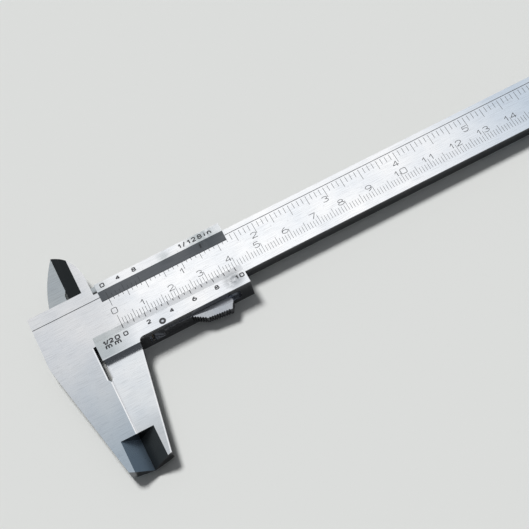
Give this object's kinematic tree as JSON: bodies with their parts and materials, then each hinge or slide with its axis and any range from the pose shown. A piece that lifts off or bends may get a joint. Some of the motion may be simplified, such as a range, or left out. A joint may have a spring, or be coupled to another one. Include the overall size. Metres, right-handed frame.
{
  "type": "vernier caliper",
  "caption": "Steel vernier slide caliper with outside and inside jaws, a depth rod and a thumb lever that frees the sliding jaw.",
  "frame": {"origin": "where the jaws' zero plane crosses the beam's lower guide edge, on the scale face", "axes": "+X along the beam towards its tail, +Y across the beam towards the inside jaws, +Z out of the scale face"},
  "size_m": [0.2276, 0.0816, 0.0085],
  "materials": {
    "satin_steel": "satin ground stainless steel",
    "ground_steel": "fine ground stainless steel",
    "screw_steel": "turned steel",
    "spring_steel": "blued spring steel",
    "bronze": "rolled bronze",
    "black_fill": "black paint in the engraved marks"
  },
  "bodies": {
    "beam": {"beam": "satin_steel", "end_stop": "satin_steel", "stop_screw_lower": "screw_steel", "stop_screw_upper": "screw_steel"},
    "slider": {"slider": "satin_steel", "gib_leaf": "bronze", "gib_screw_left": "screw_steel", "gib_screw_right": "screw_steel", "rear_cover": "satin_steel", "cover_screw_1": "screw_steel", "cover_screw_2": "screw_steel", "cover_screw_3": "screw_steel", "cover_screw_4": "screw_steel", "depth_rod": "ground_steel", "rod_rivet_left": "screw_steel", "rod_rivet_right": "screw_steel", "pivot_pin": "ground_steel", "lever_leaf": "spring_steel", "leaf_rivet": "screw_steel"},
    "lever": {"thumb_lever": "ground_steel"},
    "shoe": {"lock_shoe": "bronze"}
  },
  "joints": [
    {"name": "slider_slide", "type": "slide", "parent": "beam", "child": "slider", "axis": [1, 0, 0], "range_m": [0, 0.15]},
    {"name": "lever_hinge", "type": "hinge", "parent": "slider", "child": "lever", "pos_m": [0.0219, -0.0038, 0], "axis": [0, 0, 1], "range_deg": [0, 6], "stiffness_Nm_per_rad": 0.1, "springref_deg": -8.59, "deforming": ["lever_leaf"]},
    {"name": "shoe_slide", "type": "slide", "parent": "slider", "child": "shoe", "axis": [0, 1, 0], "range_m": [-0.0005, 0]}
  ],
  "couplings": [
    {"joint": "shoe_slide", "follows": "lever_hinge", "m_per_rad": -0.0037}
  ]
}
